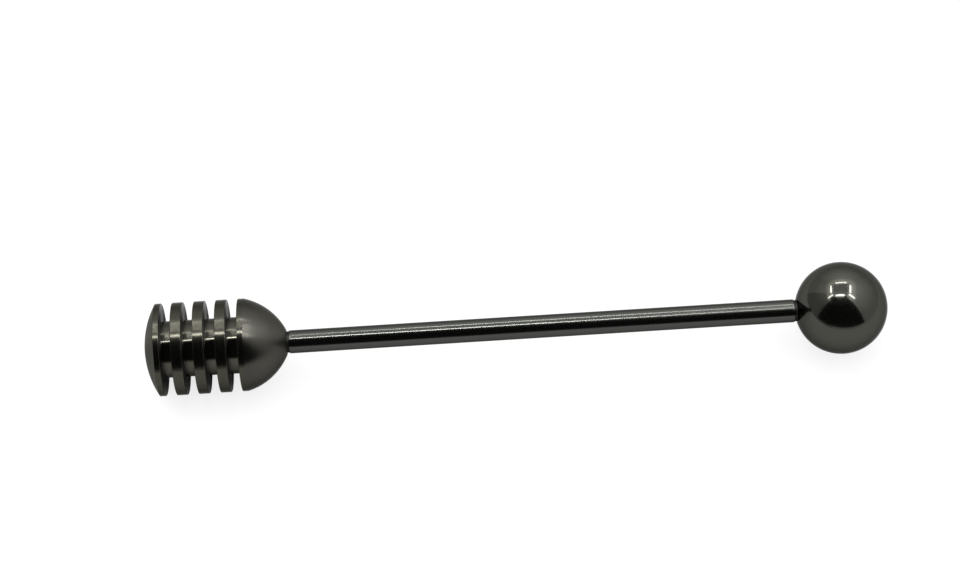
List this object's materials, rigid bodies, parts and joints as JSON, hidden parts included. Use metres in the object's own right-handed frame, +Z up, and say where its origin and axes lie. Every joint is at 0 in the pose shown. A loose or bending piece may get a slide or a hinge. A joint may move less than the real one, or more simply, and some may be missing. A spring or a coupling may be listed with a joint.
{
  "type": "honey dipper",
  "caption": "Slim metal honey dipper: a grooved head that holds honey as it is turned, on a straight round rod with a solid ball at the handle end.",
  "frame": {"origin": "on the surface that the dipper lies on, below the middle of its length", "axes": "+X from the grooved head to the ball, along the turning axis; +Z up"},
  "size_m": [0.1608, 0.02, 0.02],
  "materials": {
    "turned_steel": "satin",
    "polished_steel": "polished"
  },
  "bodies": {
    "root": {"dipper_head": "turned_steel", "handle_rod": "polished_steel", "end_ball": "polished_steel"}
  },
  "joints": []
}
